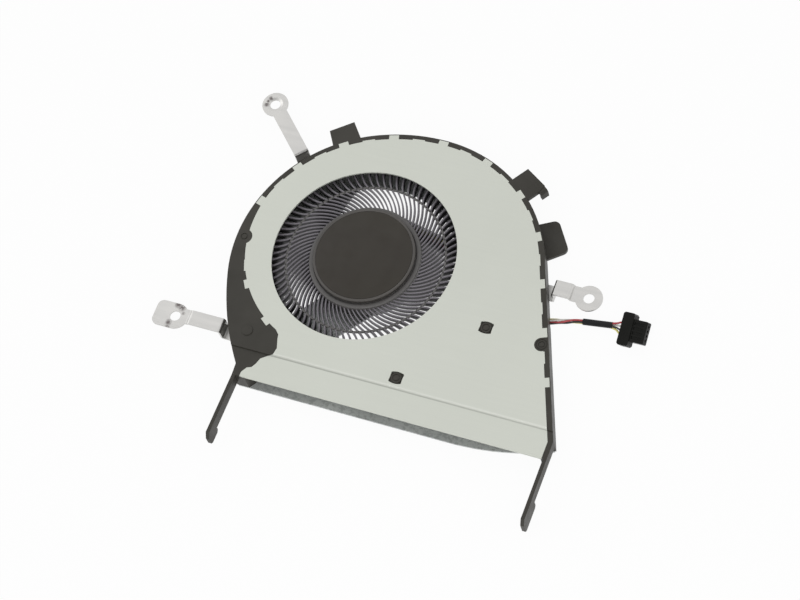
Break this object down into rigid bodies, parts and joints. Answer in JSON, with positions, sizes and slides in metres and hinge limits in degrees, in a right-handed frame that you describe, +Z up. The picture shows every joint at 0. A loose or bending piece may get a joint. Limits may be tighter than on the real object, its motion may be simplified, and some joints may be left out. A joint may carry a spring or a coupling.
{
  "type": "laptop cooling fan",
  "caption": "Flat blower fan for a notebook computer: scroll housing with sheet cover, swept-blade impeller, screw ears, two front arms and a short lead with its plug.",
  "frame": {"origin": "on the impeller's axis, at the underside of the base", "axes": "+X along the outlet towards the connector's side, +Y away from the outlet, +Z up out of the inlet"},
  "size_m": [0.1059, 0.0845, 0.0062],
  "materials": {
    "housing_plastic": "fine matt moulded plastic",
    "cover_sheet": "satin pressed sheet",
    "base_sheet": "satin pressed sheet",
    "ear_sheet": "satin pressed sheet",
    "impeller_plastic": "smooth moulded plastic",
    "hub_face": "plain matt disc",
    "yoke_steel": "plated",
    "magnet": "matt",
    "shaft_steel": "ground",
    "bearing_brass": "turned",
    "bearing_sinter": "sintered",
    "wear_plastic": "matt",
    "core_steel": "stacked sheets",
    "liner_plastic": "matt",
    "winding": "enamelled copper wire",
    "board": "lacquered board",
    "chip": "matt",
    "lead_red": "satin",
    "lead_white": "satin",
    "lead_black": "satin",
    "lead_yellow": "satin",
    "lead_sleeve": "satin",
    "connector": "satin",
    "terminal": "tinned"
  },
  "bodies": {
    "housing": {"housing_frame": "housing_plastic", "support_posts": "housing_plastic", "top_cover": "cover_sheet", "base_plate": "base_sheet", "bracket_left": "ear_sheet", "bracket_top": "ear_sheet", "bracket_right": "ear_sheet", "bearing_housing": "bearing_brass", "bearing_sleeve": "bearing_sinter", "thrust_pad": "wear_plastic", "shaft_retainer": "wear_plastic", "stator_core": "core_steel", "stator_liner_top": "liner_plastic", "stator_liner_bottom": "liner_plastic", "stator_coils": "winding", "motor_board": "board", "driver_chip": "chip", "lead_red": "lead_red", "lead_white": "lead_white", "lead_black": "lead_black", "lead_yellow": "lead_yellow", "lead_sleeve": "lead_sleeve", "connector_housing": "connector", "connector_terminals": "terminal"},
    "rotor": {"impeller": "impeller_plastic", "hub_disc": "hub_face", "rotor_yoke": "yoke_steel", "magnet_ring": "magnet", "rotor_shaft": "shaft_steel"}
  },
  "joints": [
    {"name": "impeller_spin", "type": "hinge", "parent": "housing", "child": "rotor", "pos_m": [0, 0, 0], "axis": [0, 0, 1], "continuous": true}
  ]
}
